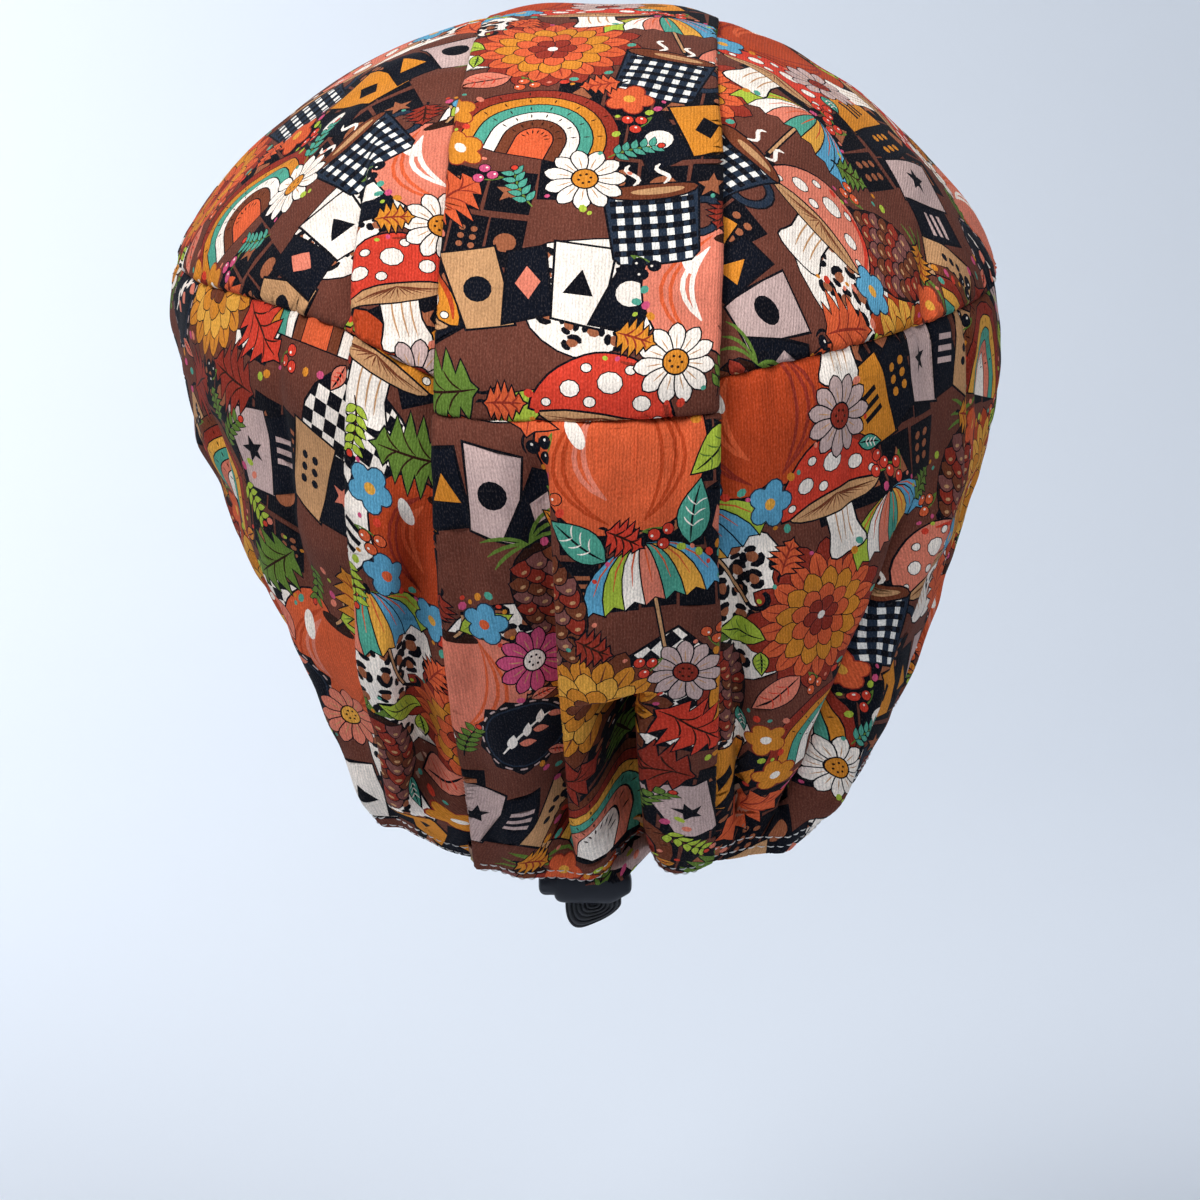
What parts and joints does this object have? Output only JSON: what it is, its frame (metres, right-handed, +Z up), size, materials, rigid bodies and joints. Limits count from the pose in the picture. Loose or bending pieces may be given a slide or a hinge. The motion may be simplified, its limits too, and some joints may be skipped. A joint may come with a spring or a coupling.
{
  "type": "scrub cap",
  "caption": "Worn bouffant cloth cap with a wide strip over the crown, gathered side panels, a pleated nape, and an elastic loop with a cord lock.",
  "frame": {"origin": "inner top of the crown, where the wearer's head bears", "axes": "+Z up, -Y the way the wearer faces, +Y the back of the cap, +X the wearer's left"},
  "size_m": [0.2408, 0.2681, 0.2571],
  "materials": {
    "print_cloth": "matt soft knit",
    "elastic": "ribbed matt",
    "lock_plastic": "satin"
  },
  "bodies": {
    "root": {"crown_strip": "print_cloth", "crown_left": "print_cloth", "crown_right": "print_cloth", "side_left": "print_cloth", "side_right": "print_cloth", "back_panel": "print_cloth", "front_band": "print_cloth", "elastic_loop": "elastic", "cord_lock": "lock_plastic"}
  },
  "joints": []
}
